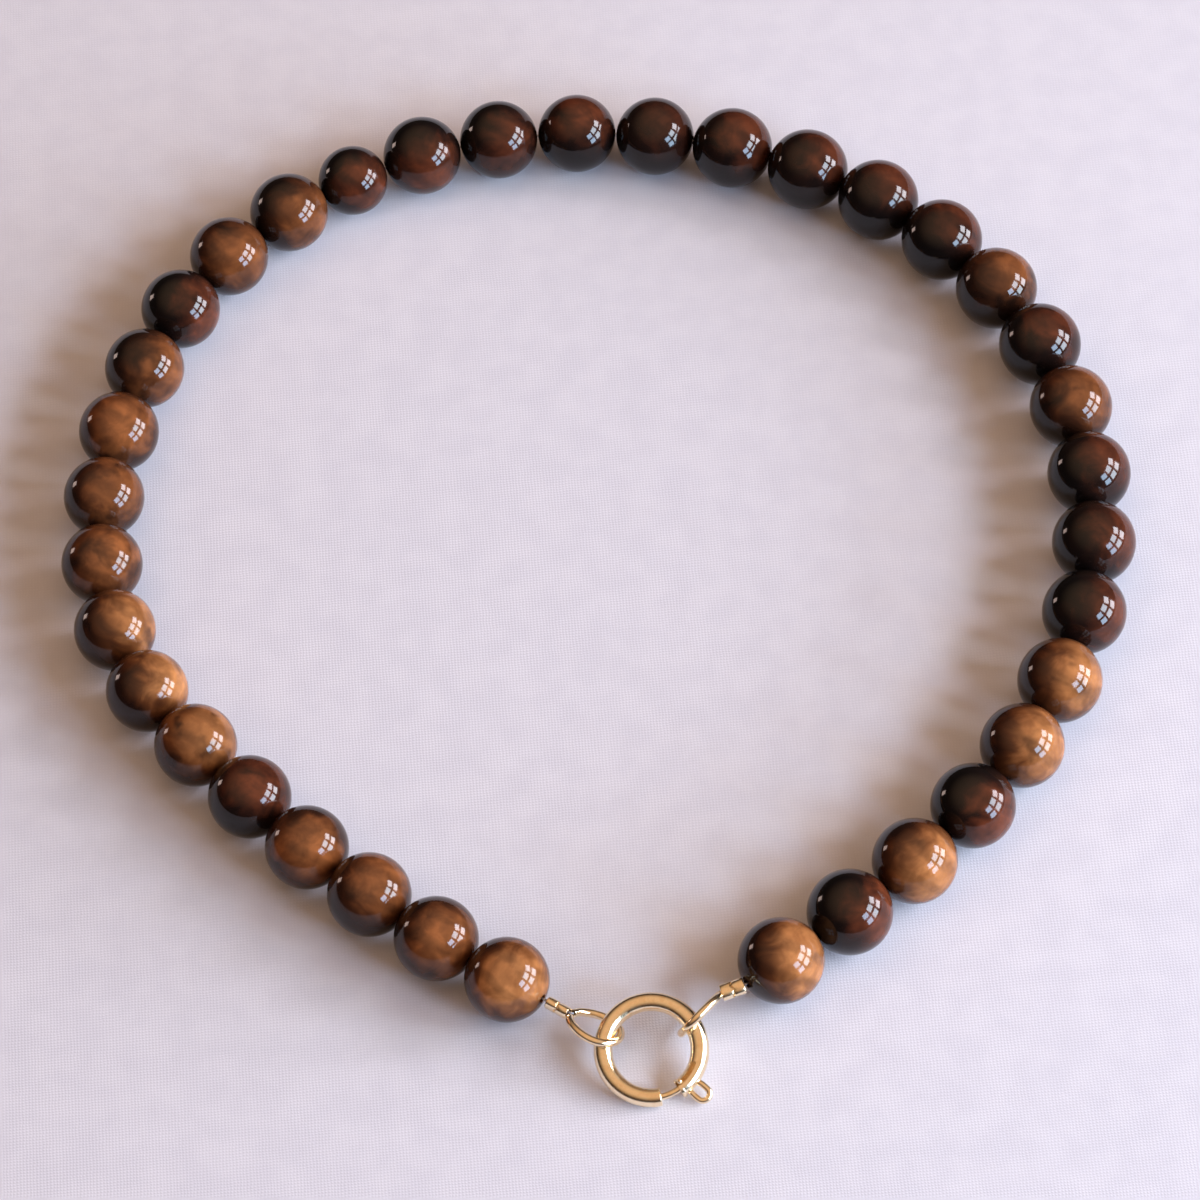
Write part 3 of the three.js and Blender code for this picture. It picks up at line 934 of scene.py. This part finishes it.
@dataclass
class SpringRing:
    """The round clasp: a hollow ring with a gap, its collar, its eye, and the tongue in the gap.

    Angles are in degrees, and the travel is how far the slot lets the trigger go.
    """

    centre: Vector
    axis: Vector
    diameter: float = 13.2 * MM
    tube: float = 2.15 * MM
    gap: float = 2.2 * MM
    gap_middle: float = -72.0
    tube_sides: int = 32
    tube_steps: int = 120
    rim_round: float = 0.16 * MM
    collar_length: float = 0.4 * MM
    collar_rise: float = 0.1 * MM
    collar_lap: float = 0.01 * MM
    collar_round: float = 0.05 * MM
    collar_steps: int = 4
    tongue: float = 0.8 * MM
    tongue_clearance: float = 0.1 * MM
    tongue_seat: float = 0.6 * MM
    tongue_tail: float = 3.4 * MM
    tongue_round: float = 0.12 * MM
    tongue_sides: int = 20
    tongue_steps: int = 36
    trigger_ball: float = 0.62 * MM
    trigger_stem: float = 0.34 * MM
    trigger_inset: float = 0.35 * MM
    trigger_lift: float = 0.05 * MM
    trigger_angle: float = 112.0
    stem_sides: int = 14
    ball_segments: int = 24
    ball_rings: int = 14
    slot_clearance: float = 0.1 * MM
    slot_steps: int = 15
    slot_end_turns: tuple[float, ...] = (0.4, 0.8, 1.1, 1.35)
    eye_angle: float = -46.0
    eye_width: float = 2.3 * MM
    eye_reach: float = 2.3 * MM
    eye_rail: float = 0.74 * MM
    eye_sunk: float = 0.35 * MM
    eye_taper: float = 0.8
    eye_steps: int = 14
    eye_smoothing: int = 3
    eye_sides: int = 16
    travel: float = 30.6

    @property
    def radius(self) -> float:
        """The radius of the tube's middle line."""
        return (self.diameter - self.tube) / 2

    @property
    def mouth_angle(self) -> float:
        """The angle of the end that the tongue comes out of."""
        return self.gap_middle + self.arc(self.gap) / 2

    @property
    def trigger_rest(self) -> float:
        """The angle of the trigger while the gap is shut."""
        return self.mouth_angle + self.arc(self.trigger_inset + self.trigger_stem / 2)

    @property
    def wall_bore(self) -> float:
        """The radius of the tube's bore, which clears the tongue."""
        return self.tongue / 2 + self.tongue_clearance

    def arc(self, length: float) -> float:
        """Turns a length along the tube into degrees."""
        return math.degrees(length / self.radius)

    @property
    def matrix(self) -> Matrix:
        """Where the ring's own frame lies: X to the right, Y towards the raised back."""
        right = Vector((1, 0, 0))
        return frame_matrix(self.centre, right, self.axis.cross(right), self.axis)

    def at(self, angle: float, radius: float, height: float = 0.0) -> Vector:
        """Places a point of the ring.

        Args:
            angle: Its angle about the ring's axis.
            radius: Its distance from the axis.
            height: Its height along the axis.

        Returns:
            The point.
        """
        turned = math.radians(angle)
        return self.matrix @ Vector((radius * math.cos(turned), radius * math.sin(turned), height))

    def arc_tube(self, start: float, end: float, radius: float, sides: int, steps: int,
                 bore: float = 0.0) -> bmesh.types.BMesh:
        """Sweeps a rod or tube along part of the ring.

        Args:
            start: The first angle.
            end: The last angle.
            radius: The section's radius.
            sides: The section's sides.
            steps: The steps along the arc.
            bore: The bore's radius, or 0.

        Returns:
            The shape, in place.
        """
        angles = np.linspace(start, end, steps + 1)
        return tube_along([self.at(angle, self.radius) for angle in angles], radius, sides, bore)

    def build_ring(self, gold: bpy.types.Material) -> None:
        """Builds the tube with its slot, the collar and the eye as one soldered piece.

        Args:
            gold: The ring's material.
        """
        start = self.mouth_angle
        end = start + FULL_TURN - self.arc(self.gap)
        shape = self.arc_tube(start, end, self.tube / 2, self.tube_sides, self.tube_steps, self.wall_bore)
        round_edges(shape, [rim for rim in sharp_edges(shape) if self.is_outside(rim)], self.rim_round,
                    WIDE_ROUND_STEPS)
        collar = self.arc_tube(start - self.arc(self.collar_lap), start + self.arc(self.collar_length),
                               self.tube / 2 + self.collar_rise, self.tube_sides, self.collar_steps,
                               self.wall_bore)
        round_edges(collar, sharp_edges(collar), self.collar_round, NARROW_ROUND_STEPS)
        for cut in (shape, collar):
            cut_away(cut, self.slot_cutter())
        take_in(shape, collar, self.eye_shape())
        finish_piece("spring_ring", shape, NECKLACE_BODY, "gold_filled", gold, "clasp_ring")

    def is_outside(self, rim: bmesh.types.BMEdge) -> bool:
        """Tells whether an edge of the tube lies on its outside and not on its bore.

        Args:
            rim: The edge.

        Returns:
            Whether it is nearer to the outside.
        """
        middle = self.matrix.inverted() @ ((rim.verts[0].co + rim.verts[1].co) / 2)
        flat = math.hypot(middle.x, middle.y) - self.radius
        return math.hypot(flat, middle.z) > (self.tube / 2 + self.wall_bore) / 2

    def eye_shape(self) -> bmesh.types.BMesh:
        """Bends the eye's wire round from the ring and back to it.

        Returns:
            The eye, in place.
        """
        rail = self.eye_rail / 2
        bend = self.eye_width / 2 - rail
        root = self.diameter / 2 - self.eye_sunk
        centre = self.diameter / 2 + self.eye_reach - self.eye_width / 2
        narrow = bend * self.eye_taper
        outline = [(root, -narrow), ((root + centre) / 2, -bend)]
        outline += [(centre + bend * math.cos(turn), bend * math.sin(turn))
                    for turn in np.linspace(-math.pi / 2, math.pi / 2, self.eye_steps + 1)]
        outline += [((root + centre) / 2, bend), (root, narrow)]
        spun = Matrix.Rotation(math.radians(self.eye_angle), 4, "Z")
        points = [self.matrix @ (spun @ Vector((x, y, 0))) for x, y in outline]
        return tube_along(smooth_line(points, self.eye_smoothing), rail, self.eye_sides)

    def slot_cutter(self) -> bmesh.types.BMesh:
        """Makes the round-ended block that cuts the trigger's slot through the tube's wall.

        Returns:
            The block, in place.
        """
        first = self.mouth_angle - self.arc(self.trigger_stem)
        last = self.trigger_rest + self.travel
        width = self.trigger_stem / 2 + self.slot_clearance
        stations = [(angle, width) for angle in np.linspace(first, last, self.slot_steps + 1)]
        stations += [(last + self.arc(width * math.sin(turn)), width * math.cos(turn))
                     for turn in self.slot_end_turns]
        low, high = self.tongue / 2, self.tube / 2 + self.trigger_ball
        lean = math.radians(self.trigger_angle)
        shape = bmesh.new()
        before = []
        for angle, half in stations:
            corners = []
            for reach, side in ((low, -half), (high, -half), (high, half), (low, half)):
                outward = reach * math.cos(lean) - side * math.sin(lean)
                height = reach * math.sin(lean) + side * math.cos(lean)
                corners.append(self.at(angle, self.radius + outward, height))
            edges = closed_loop(shape, corners)[1]
            if before:
                bmesh.ops.bridge_loops(shape, edges=before + edges)
            before = edges
        bmesh.ops.holes_fill(shape, edges=shape.edges, sides=4)
        bmesh.ops.recalc_face_normals(shape, faces=shape.faces)
        return shape

    def build_tongue(self, gold: bpy.types.Material) -> None:
        """Builds the curved tongue with its trigger.

        Args:
            gold: The tongue's material.
        """
        seat = self.mouth_angle - self.arc(self.gap + self.tongue_seat)
        tail = self.mouth_angle + self.arc(self.tongue_tail)
        shape = self.arc_tube(seat, tail, self.tongue / 2, self.tongue_sides, self.tongue_steps)
        round_edges(shape, sharp_edges(shape), self.tongue_round, WIDE_ROUND_STEPS)
        lean = math.radians(self.trigger_angle)
        reach = self.tube / 2 + self.trigger_lift + self.trigger_ball / 2
        foot = self.at(self.trigger_rest, self.radius)
        head = self.at(self.trigger_rest, self.radius + reach * math.cos(lean), reach * math.sin(lean))
        stem = tube_along([foot, foot.lerp(head, 0.5), head], self.trigger_stem / 2, self.stem_sides)
        take_in(shape, stem)
        bmesh.ops.create_uvsphere(shape, u_segments=self.ball_segments, v_segments=self.ball_rings,
                                  radius=self.trigger_ball / 2, matrix=Matrix.Translation(head))
        finish_piece("spring_tongue", shape, LATCH_BODY, "gold_filled", gold, "clasp_tongue")

    def build(self, gold: bpy.types.Material) -> None:
        """Builds the whole clasp."""
        self.build_ring(gold)
        self.build_tongue(gold)


# Links between the clasp and the string


@dataclass(frozen=True)
class LinkLay:
    """How a guard goes round the ring and how its crimp lies, in degrees.

    The mouth gap is the bare thread between the crimp and the first bead.
    """

    ring_angle: float
    guard_heading: float
    crimp_heading: float
    guard_roll: float
    crimp_roll: float
    mouth_gap: float


LAYS = {
    Side.LEFT: LinkLay(154, 148, 144, -40, 5, 0.75 * MM),
    Side.RIGHT: LinkLay(28.5, 41, 12, 6, 85, 0.4 * MM),
}


def heading(angle: float, rise: float) -> Vector:
    """Works out a direction that climbs from the cloth.

    Args:
        angle: Its angle seen from above, in degrees.
        rise: How far it climbs, in radians.

    Returns:
        The direction.
    """
    turned = math.radians(angle)
    return Vector((math.cos(turned) * math.cos(rise), math.sin(turned) * math.cos(rise), math.sin(rise)))


def rolled(line: Vector, reference: Vector, roll: float) -> Vector:
    """Makes a reference square to a line and rolls it about the line.

    Args:
        line: The line.
        reference: The direction that is made square to it.
        roll: The roll in degrees.

    Returns:
        The rolled direction.
    """
    square = (reference - line * reference.dot(line)).normalized()
    return Matrix.Rotation(math.radians(roll), 3, line) @ square


@dataclass
class ThreadLink:
    """A wire guard round the ring, and the crimp that holds the doubled thread behind it.

    Half the groove's width is also its depth. Its floor and shoulder are shares of it, and the
    zigzag's reach is a share of half the crimp's length.
    """

    side: Side
    ring: SpringRing
    bead_radius: float
    thread: float = 0.38 * MM
    guard_wall: float = 0.14 * MM
    guard_swell: float = 0.09 * MM
    guard_bore_clearance: float = 0.045 * MM
    guard_length: float = 6.2 * MM
    guard_tube_clearance: float = 0.15 * MM
    guard_spare: float = 0.6 * MM
    guard_taper: float = 0.15
    guard_arm_gap: float = 0.2 * MM
    guard_mouth_round: float = 0.03 * MM
    guard_sides: int = 20
    guard_steps: int = 60
    solid_guard_sides: int = 8
    crimp_length: float = 2.6 * MM
    crimp_spare: float = 0.2 * MM
    crimp_thickness: float = 1.45 * MM
    crimp_width: float = 1.95 * MM
    crimp_wall: float = 0.2 * MM
    crimp_rim: float = 0.14 * MM
    crimp_rim_middle: float = 0.3
    crimp_sides: int = 48
    groove: float = 0.2 * MM
    groove_lip: float = 0.04 * MM
    groove_shoulder: float = 0.6
    groove_floor: float = 0.35
    # Depths of the faces that take the dark gold as painted shade: the crimp's end faces.
    painted_shade_depths: Span = (0.16 * MM, 0.19 * MM)
    zigzag: float = 0.1 * MM
    zigzag_count: int = 4
    zigzag_reach: float = 0.75
    link_gap: float = 0.35 * MM

    def __post_init__(self) -> None:
        """Works out the link's lines from its lay."""
        lay = LAYS[self.side]
        corner = math.cos(math.pi / self.solid_guard_sides)
        self.guard_bore = (self.thread / 2 + self.guard_bore_clearance) / corner
        self.guard_radius = self.guard_bore + self.guard_wall
        self.tip = self.ring.tube / 2 + self.guard_tube_clearance + self.guard_radius
        steepest = max(abs(each.guard_roll) for each in LAYS.values())
        self.half_width = self.tip / math.cos(math.radians(steepest)) + self.guard_spare
        reach = self.guard_length - self.tip
        self.crossing = self.ring.at(lay.ring_angle, self.ring.radius)
        run = reach + self.link_gap + self.crimp_length + lay.mouth_gap
        rise = math.asin((self.bead_radius - self.crossing.z) / run)
        self.guard_line = heading(lay.guard_heading, rise)
        self.crimp_line = heading(lay.crimp_heading, rise)
        self.crimp_start = self.crossing + self.guard_line * (reach + self.link_gap)
        self.guard_across = rolled(self.guard_line, self.ring.axis, lay.guard_roll)
        self.crimp_across = rolled(self.crimp_line, self.ring.axis, lay.crimp_roll)

    def guard_points(self) -> list[Vector]:
        """Works out the teardrop of the guard's middle line.

        Returns:
            Its points, from one arm round to the other.
        """
        half = self.guard_length / 2
        arm = self.guard_radius + self.guard_arm_gap / 2
        start = math.asin(min(arm / (self.half_width * (1 - self.guard_taper)), 1.0))
        points = []
        for angle in np.linspace(start, math.tau - start, self.guard_steps + 1):
            along = half * math.cos(angle) + half - self.tip
            across = self.half_width * math.sin(angle) * (1 - self.guard_taper * math.cos(angle))
            points.append(self.crossing + self.guard_line * along + self.guard_across * across)
        return points

    def build_guard(self, gold: bpy.types.Material) -> None:
        """Builds the guard as a thin-walled tube with rounded mouths.

        Args:
            gold: The guard's material.
        """
        outside = self.guard_radius + self.guard_swell
        shape = tube_along(self.guard_points(), outside, self.guard_sides, self.guard_bore)
        round_edges(shape, sharp_edges(shape), self.guard_mouth_round, NARROW_ROUND_STEPS)
        name = f"wire_guard_{self.side.value}"
        finish_piece(f"smooth_{name}", shape, NECKLACE_BODY, "gold_filled", gold, name)

    def crimp_outline(self, inner: float, outer: float, half: float) -> list[Vector]:
        """Works out the section of the crimp's wall, with rounded rims and the groove.

        Args:
            inner: The bore's radius.
            outer: The outer radius.
            half: Half the length.

        Returns:
            The section's points in the plane of X and Z.
        """
        rim, groove = self.crimp_rim, self.groove
        bend = rim * self.crimp_rim_middle
        upper = [(outer - groove, groove * self.groove_floor),
                 (outer - self.groove_lip, groove * self.groove_shoulder), (outer, groove),
                 (outer, half - rim), (outer - bend, half - bend), (outer - rim, half), (inner, half)]
        lower = [(radius, -along) for radius, along in reversed(upper)]
        return [Vector((radius, 0, along)) for radius, along in lower + upper]

    def build_crimp(self, gold: bpy.types.Material, dark: bpy.types.Material) -> None:
        """Builds the pressed crimp: a flattened tube with a zigzag groove across its middle.

        Args:
            gold: The bands' material.
            dark: The dark gold of the painted shade on the end faces.
        """
        half = (self.crimp_length + self.crimp_spare) / 2
        outer = self.crimp_thickness / 2
        inner = outer - self.crimp_wall
        flattening = self.crimp_width / self.crimp_thickness
        shape = spun_shape(self.crimp_outline(inner, outer, half), self.crimp_sides)
        # Painted shade: the end faces, at these depths, take the dark gold.
        for face in shape.faces:
            centre = face.calc_center_median()
            depth = outer - math.hypot(centre.x, centre.y)
            face.material_index = int(self.painted_shade_depths[0] < depth < self.painted_shade_depths[1])
        for vert in shape.verts:
            angle = math.atan2(vert.co.y, vert.co.x)
            share = max(0.0, 1 - abs(vert.co.z) / (half * self.zigzag_reach))
            vert.co.z += self.zigzag * math.asin(math.sin(self.zigzag_count * angle)) * share
            vert.co.x *= flattening
        side = self.crimp_across
        third = self.crimp_line.cross(side)
        middle = self.crimp_start + self.crimp_line * half
        place = frame_matrix(middle, side, third, self.crimp_line)
        bmesh.ops.transform(shape, matrix=place, verts=shape.verts)
        name = f"crimp_{self.side.value}"
        piece = finish_piece(f"pressed_{name}", shape, NECKLACE_BODY, "gold_filled", gold, name)
        piece.data.materials.append(dark)

    def build(self, gold: bpy.types.Material, dark: bpy.types.Material) -> None:
        """Builds the guard and the crimp."""
        self.build_guard(gold)
        self.build_crimp(gold, dark)


@dataclass
class BeadingWire:
    """The thread, rounded from its solid. Angles are in degrees."""

    weld: float = 0.001 * MM
    flat_turn: float = 20.0
    sharp_turn: float = 75.0
    rounds: int = 1

    def build(self, steel: bpy.types.Material) -> None:
        """Builds the thread from a merged copy of its solid.

        Args:
            steel: The thread's material.
        """
        shape = bmesh.new()
        shape.from_mesh(frame["nodes"]["beading_wire"].data)
        bmesh.ops.remove_doubles(shape, verts=shape.verts, dist=self.weld)
        bmesh.ops.join_triangles(shape, faces=shape.faces, angle_shape_threshold=math.pi,
                                 angle_face_threshold=math.radians(self.flat_turn))
        piece = finish_piece("twisted_wire", shape, NECKLACE_BODY, "steel_wire", steel, "beading_wire")
        piece.data.set_sharp_from_angle(angle=math.radians(self.sharp_turn))
        rounding = piece.modifiers.new("rounding", "SUBSURF")
        rounding.levels = rounding.render_levels = self.rounds


# Studio


@dataclass
class Studio:
    """The ground, the window on the right, the small lamp on the left, and the camera.

    Window at and lamp at are the places on a bead's seen face where their light is mirrored. The
    room's reach is how far up, as a height of direction, its colour starts and ends changing.
    """

    aim: Vector
    focal_length: float = 163.76
    sensor: float = 36.0
    ground_size: float = 3.0
    window_span: float = 1.0
    window_at: Span = (0.50, 0.03)
    pane: Span = (0.24, 0.29)
    pane_gap: float = 0.1
    pane_watts: float = 4.3
    pane_columns: int = 2
    pane_colours: tuple[Colour, ...] = ((0.52, 0.73, 1.0), (0.72, 0.86, 1.0), (0.92, 0.92, 1.0))
    slant: float = -89.0
    lamp_span: float = 1.2
    lamp_at: Span = (-0.70, 0.30)
    lamp_size: Span = (0.18, 0.24)
    lamp_watts: float = 1.0
    lamp_colour: Colour = (1.0, 0.74, 0.66)
    wall: Colour = (0.06, 0.045, 0.04)
    ceiling: Colour = (0.74, 0.49, 0.31)
    room_reach: Span = (0.3, 1.0)

    def build_ground(self) -> None:
        """Lays the cloth under the beads."""
        shape = bmesh.new()
        bmesh.ops.create_grid(shape, x_segments=2, y_segments=2, size=self.ground_size / 2)
        mesh = bpy.data.meshes.new("ground_cloth")
        shape.to_mesh(mesh)
        shape.free()
        mesh.materials.append(ClothFinish().build())
        ground = bpy.data.objects.new("ground_cloth", mesh)
        bpy.context.scene.collection.objects.link(ground)

    def add_light(self, name: str, place: Vector, turn: float, size: Span, watts: float,
                  colour: Colour) -> None:
        """Adds a rectangular light that faces the necklace.

        Args:
            name: The light's name.
            place: Where it stands.
            turn: Its turn about the line to the necklace, in degrees.
            size: Its width and height.
            watts: Its power.
            colour: Its colour.
        """
        data = bpy.data.lights.new(name, "AREA")
        data.shape = "RECTANGLE"
        data.size, data.size_y = size
        data.energy = watts
        data.color = colour
        light = bpy.data.objects.new(name, data)
        facing = place.to_track_quat("Z", "Y").to_matrix().to_4x4()
        spun = facing @ Matrix.Rotation(math.radians(turn), 4, "Z")
        light.matrix_world = Matrix.Translation(place) @ spun
        bpy.context.scene.collection.objects.link(light)

    def reflected_from(self, right: float, up: float) -> Vector:
        """Works out the direction that a bead mirrors at a place on its seen face.

        Args:
            right: How far right the place is, in shares of the radius.
            up: How far up it is.

        Returns:
            The direction.
        """
        normal = seen_way(right, up)
        towards = view_axes()[2]
        return (2 * normal.dot(towards) * normal - towards).normalized()

    def build_lights(self) -> None:
        """Sets up the window's panes, the lamp and the warm room."""
        middle = self.reflected_from(*self.window_at) * self.window_span
        across = middle.to_track_quat("Z", "Y").to_matrix()
        slant = Matrix.Rotation(math.radians(self.slant), 3, "Z")
        rows = len(self.pane_colours)
        for row, colour in enumerate(self.pane_colours):
            for column in range(self.pane_columns):
                offset = Vector(((column - (self.pane_columns - 1) / 2) * (self.pane[0] + self.pane_gap),
                                 (row - (rows - 1) / 2) * (self.pane[1] + self.pane_gap), 0))
                place = middle + across @ (slant @ offset)
                self.add_light(f"pane_{row}_{column}", place, self.slant, self.pane, self.pane_watts, colour)
        lamp = self.reflected_from(*self.lamp_at) * self.lamp_span
        self.add_light("lamp", lamp, 0, self.lamp_size, self.lamp_watts, self.lamp_colour)
        world = bpy.data.worlds.new("warm_room")
        world.use_nodes = True
        sheet = NodeSheet(world.node_tree)
        parts = sheet.add("SeparateXYZ")
        sheet.link(sheet.add("TexCoord").outputs["Generated"], parts.inputs[0])
        climb = sheet.remap(parts.outputs["Z"], self.room_reach)
        room = sheet.mix(climb, (*self.wall, 1), (*self.ceiling, 1))
        sheet.link(room, world.node_tree.nodes["Background"].inputs["Color"])
        bpy.context.scene.world = world

    def build_camera(self) -> None:
        """Sets the camera at the photograph's place."""
        right, up, towards = view_axes()
        data = bpy.data.cameras.new("camera")
        data.lens = self.focal_length
        data.sensor_width = self.sensor
        camera = bpy.data.objects.new("camera", data)
        camera.matrix_world = frame_matrix(self.aim + towards * CAMERA_SPAN, right, up, towards)
        bpy.context.scene.collection.objects.link(camera)
        bpy.context.scene.camera = camera

    def build(self) -> None:
        """Builds the whole studio."""
        self.build_ground()
        self.build_lights()
        self.build_camera()
        bpy.context.scene.view_settings.view_transform = "Standard"
        log.info("studio: ground, window, lamp, camera")


def main() -> None:
    """Builds the necklace and the studio."""
    joint = frame["joints"][0]
    clasp = SpringRing(Vector(joint["pos_m"]), Vector(joint["axis"]).normalized())
    beads = BeadString(StonePattern().build())
    metal = MetalPattern().build()
    gold = GOLD.build(metal)
    dark = PAINTED_SHADE_GOLD.build(metal)
    beads.build()
    clasp.build(gold)
    ends = {Side.LEFT: beads.measure(1).radius, Side.RIGHT: beads.measure(len(BEAD_LOOKS)).radius}
    for side, radius in ends.items():
        ThreadLink(side, clasp, radius).build(gold, dark)
    BeadingWire().build(STEEL.build(metal))
    aim = Vector((clasp.centre.x + AIM_RIGHT_OF_CLASP, clasp.centre.y + AIM_BEHIND_CLASP, 0))
    Studio(aim).build()


if __name__ == "__main__":
    main()
